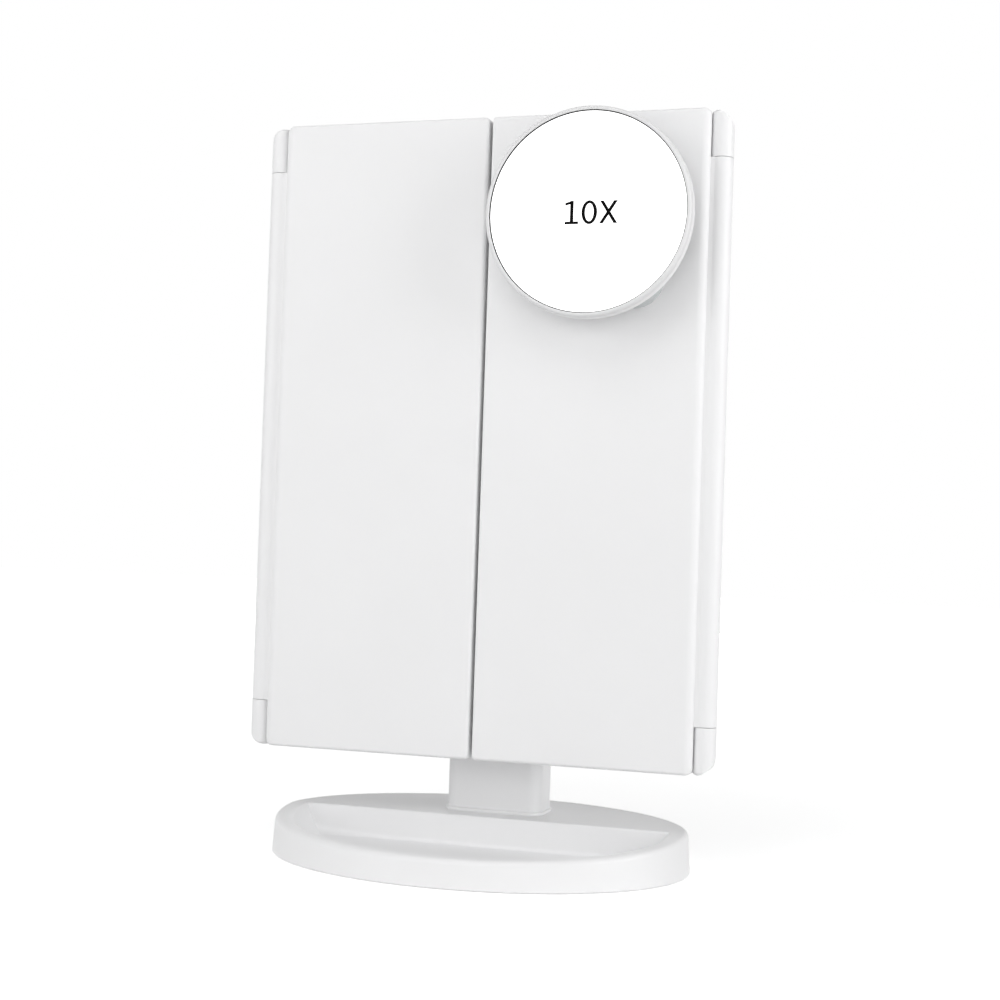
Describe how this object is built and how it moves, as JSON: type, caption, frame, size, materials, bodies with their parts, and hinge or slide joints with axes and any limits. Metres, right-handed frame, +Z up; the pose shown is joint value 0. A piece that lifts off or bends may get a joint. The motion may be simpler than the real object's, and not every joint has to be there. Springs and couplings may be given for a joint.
{
  "type": "trifold vanity mirror",
  "caption": "Table mirror with two folding leaves over a lighted middle mirror, a tilting column on an oval tray base and a detachable round spot mirror.",
  "frame": {"origin": "centre of the base's underside, on the table", "axes": "+X to the viewer's right, +Y towards the back, +Z up; the closed leaves face -Y"},
  "size_m": [0.182, 0.122, 0.2788],
  "materials": {
    "white_abs": "satin white moulded plastic",
    "inner_plastic": "matte moulded plastic",
    "black_plastic": "fine matte texture",
    "pad_rubber": "matte foam rubber",
    "friction_rubber": "hard black rubber",
    "ballast_steel": "plain rolled steel",
    "screw_steel": "bright zinc",
    "mirror_glass": "silvered glass",
    "frosted_diffuser": "frosted",
    "circuit_board": "solder mask",
    "led_yellow": "phosphor",
    "copper_pad": "copper",
    "cell_jacket": "printed film, plain",
    "clear_cup": "clear soft vinyl"
  },
  "bodies": {
    "stand": {"base_tray": "white_abs", "base_plate": "inner_plastic", "base_weight": "ballast_steel", "base_pad": "pad_rubber", "base_screws": "screw_steel", "neck_sleeve": "white_abs", "neck_core": "inner_plastic", "neck_screws": "screw_steel", "friction_washers": "friction_rubber"},
    "panel": {"centre_frame": "white_abs", "centre_mirror": "mirror_glass", "light_diffusers": "frosted_diffuser", "led_boards": "circuit_board", "leds": "led_yellow", "rear_housing": "white_abs", "tilt_bracket": "white_abs", "bracket_screws": "screw_steel", "tilt_axle": "screw_steel", "axle_nut": "screw_steel", "spring_washers": "screw_steel", "axle_caps": "white_abs", "wing_pins": "screw_steel", "batteries": "cell_jacket", "battery_springs": "screw_steel", "battery_plates": "screw_steel", "control_board": "circuit_board", "touch_sensor": "copper_pad", "switch_body": "black_plastic", "usb_socket": "screw_steel", "housing_screws": "screw_steel", "frame_magnets": "screw_steel"},
    "left_leaf": {"left_cover": "white_abs", "left_frame": "white_abs", "mirror_2x": "mirror_glass", "mirror_3x": "mirror_glass", "left_magnet": "screw_steel"},
    "right_leaf": {"right_cover": "white_abs", "right_frame": "white_abs", "mirror_1x": "mirror_glass", "right_magnet": "screw_steel"},
    "spot_mirror": {"spot_housing": "white_abs", "spot_rim": "white_abs", "spot_glass": "mirror_glass", "suction_cups": "clear_cup"},
    "battery_door": {"battery_door": "white_abs"},
    "switch_knob": {"switch_knob": "black_plastic"}
  },
  "joints": [
    {"name": "panel_tilt", "type": "hinge", "parent": "stand", "child": "panel", "pos_m": [0, 0.0246, 0.0998], "axis": [-1, 0, 0], "range_deg": [0, 90]},
    {"name": "left_leaf_swing", "type": "hinge", "parent": "panel", "child": "left_leaf", "pos_m": [-0.0868, -0.0092, 0.1588], "axis": [0, 0, -1], "range_deg": [0, 180]},
    {"name": "right_leaf_swing", "type": "hinge", "parent": "panel", "child": "right_leaf", "pos_m": [0.0868, -0.0092, 0.1588], "axis": [0, 0, 1], "range_deg": [0, 180]},
    {"name": "spot_mirror_pull", "type": "slide", "parent": "right_leaf", "child": "spot_mirror", "axis": [0, -1, 0], "range_m": [0, 0.06]},
    {"name": "battery_door_lift", "type": "slide", "parent": "panel", "child": "battery_door", "axis": [0, 1, 0], "range_m": [0, 0.03]},
    {"name": "switch_slide", "type": "slide", "parent": "panel", "child": "switch_knob", "axis": [1, 0, 0], "range_m": [0, 0.003]}
  ]
}
